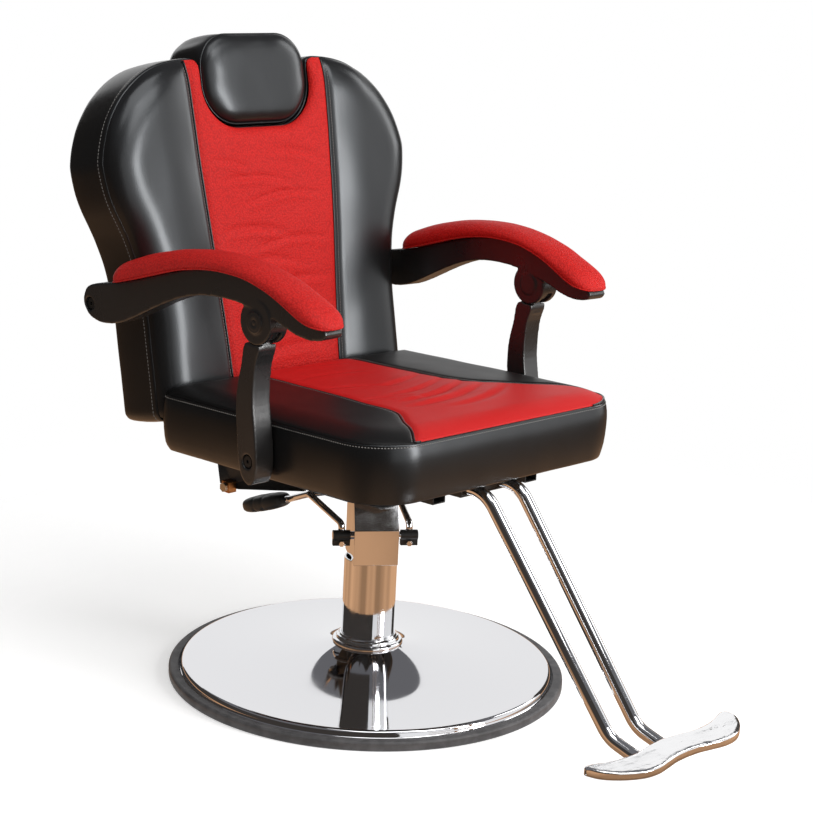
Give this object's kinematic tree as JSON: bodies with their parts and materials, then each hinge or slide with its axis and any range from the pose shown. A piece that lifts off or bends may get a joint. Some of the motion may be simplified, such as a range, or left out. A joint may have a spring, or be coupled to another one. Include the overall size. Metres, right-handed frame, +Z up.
{
  "type": "barber chair",
  "caption": "Hydraulic barber chair with a winged, notched backrest, sliding headrest, linked arms, swivelling seat, footrest on bent tubes and a round polished base.",
  "frame": {"origin": "on the floor, in the centre of the round base, on the axis of the pump column", "axes": "+Z up; the chair faces -Y, so the footrest points along -Y; +X is the sitter's left"},
  "size_m": [0.6478, 1.0181, 0.9392],
  "materials": {
    "grey_rubber": "satin",
    "polished_steel": "polished",
    "chrome": "polished",
    "plain_steel": "satin",
    "zinc_steel": "satin",
    "black_zinc": "satin",
    "bronze": "satin",
    "black_steel": "satin",
    "black_rubber": "matte",
    "black_plastic": "satin",
    "black_moulding": "satin",
    "plywood": "matte",
    "black_vinyl": "gloss",
    "red_vinyl": "satin"
  },
  "bodies": {
    "base": {"base_edge_ring": "grey_rubber", "base_plate": "polished_steel", "base_foot_plate": "plain_steel", "base_bolts": "zinc_steel", "base_collar": "chrome", "column_tube": "chrome", "oil_cylinder": "plain_steel", "pump_head": "chrome", "head_cover": "chrome", "rod_guide": "bronze"},
    "pump_lever": {"lever_shaft": "plain_steel", "lever_clamps": "black_steel", "clamp_bolts": "zinc_steel", "lever_rods": "chrome", "lever_pedal": "black_rubber"},
    "lift": {"lifting_rod": "chrome", "lifting_piston": "plain_steel"},
    "seat": {"seat_mount": "black_steel", "seat_rails": "black_steel", "rail_bolts": "zinc_steel", "seat_board": "plywood", "arm_blocks_seat": "plywood", "seat_cushion": "black_vinyl", "hinge_brackets": "black_steel", "bracket_bolts": "zinc_steel", "hinge_blocks": "zinc_steel", "block_bolts": "zinc_steel", "hinge_pins": "zinc_steel", "footrest_saddles": "black_steel", "footrest_tube_left": "chrome", "footrest_tube_right": "chrome", "footplate": "chrome", "footplate_screws": "zinc_steel", "post_bolts": "black_zinc", "post_spacers": "black_plastic", "gas_cylinder": "black_steel", "gas_hangers": "black_steel", "release_bearings": "black_steel"},
    "gas_rod": {"gas_rod": "chrome"},
    "release": {"release_lever": "zinc_steel", "release_grip": "black_plastic"},
    "back": {"back_board": "plywood", "arm_blocks_back": "plywood", "back_cushion": "black_vinyl", "back_straps": "black_steel", "strap_bolts": "zinc_steel", "recline_yoke": "black_steel", "headrest_guide": "black_steel", "guide_screws": "black_plastic", "arm_bolts_rear": "black_zinc", "arm_spacers_rear": "black_plastic"},
    "headrest": {"headrest_board": "plywood", "headrest_cushion": "black_vinyl", "headrest_bar": "chrome"},
    "arm_left": {"arm_left": "black_moulding", "pad_left": "red_vinyl"},
    "arm_right": {"arm_right": "black_moulding", "pad_right": "red_vinyl"},
    "post_left": {"post_left": "black_moulding"},
    "post_right": {"post_right": "black_moulding"}
  },
  "joints": [
    {"name": "pump_lever", "type": "hinge", "parent": "base", "child": "pump_lever", "pos_m": [-0.01721, -0.02457, 0.229], "axis": [-0.8192, 0.5736, 0], "range_deg": [0, 28], "stiffness_Nm_per_rad": 3, "springref_deg": -28.65},
    {"name": "pump_lift", "type": "slide", "parent": "base", "child": "lift", "axis": [0, 0, 1], "range_m": [0, 0.15]},
    {"name": "seat_swivel", "type": "hinge", "parent": "lift", "child": "seat", "pos_m": [0, 0, 0.31], "axis": [0, 0, 1], "continuous": true},
    {"name": "recline", "type": "hinge", "parent": "seat", "child": "back", "pos_m": [0, 0.2985, 0.3608], "axis": [-1, 0, 0], "range_deg": [0, 40]},
    {"name": "headrest_height", "type": "slide", "parent": "back", "child": "headrest", "axis": [0, 0.1954, 0.9807], "range_m": [0, 0.09]},
    {"name": "gas_rod", "type": "slide", "parent": "seat", "child": "gas_rod", "axis": [0, -1, 0], "range_m": [0, 0.03625]},
    {"name": "release_lever", "type": "hinge", "parent": "seat", "child": "release", "pos_m": [0.15, -0.03302, 0.311], "axis": [1, 0, 0], "range_deg": [0, 12], "stiffness_Nm_per_rad": 0.6, "springref_deg": -22.92},
    {"name": "post_left", "type": "hinge", "parent": "seat", "child": "post_left", "pos_m": [0.275, -0.0455, 0.391], "axis": [-1, 0, 0], "range_deg": [0, 40]},
    {"name": "arm_left", "type": "hinge", "parent": "back", "child": "arm_left", "pos_m": [0.296, 0.29, 0.5568], "axis": [-1, 0, 0], "range_deg": [-40, 0]},
    {"name": "post_right", "type": "hinge", "parent": "seat", "child": "post_right", "pos_m": [-0.275, -0.0455, 0.391], "axis": [-1, 0, 0], "range_deg": [0, 40]},
    {"name": "arm_right", "type": "hinge", "parent": "back", "child": "arm_right", "pos_m": [-0.296, 0.29, 0.5568], "axis": [-1, 0, 0], "range_deg": [-40, 0]}
  ],
  "couplings": [
    {"joint": "gas_rod", "follows": "recline", "m_per_rad": 0.05193},
    {"joint": "post_left", "follows": "recline", "ratio": 1},
    {"joint": "arm_left", "follows": "recline", "ratio": -1},
    {"joint": "post_right", "follows": "recline", "ratio": 1},
    {"joint": "arm_right", "follows": "recline", "ratio": -1}
  ]
}
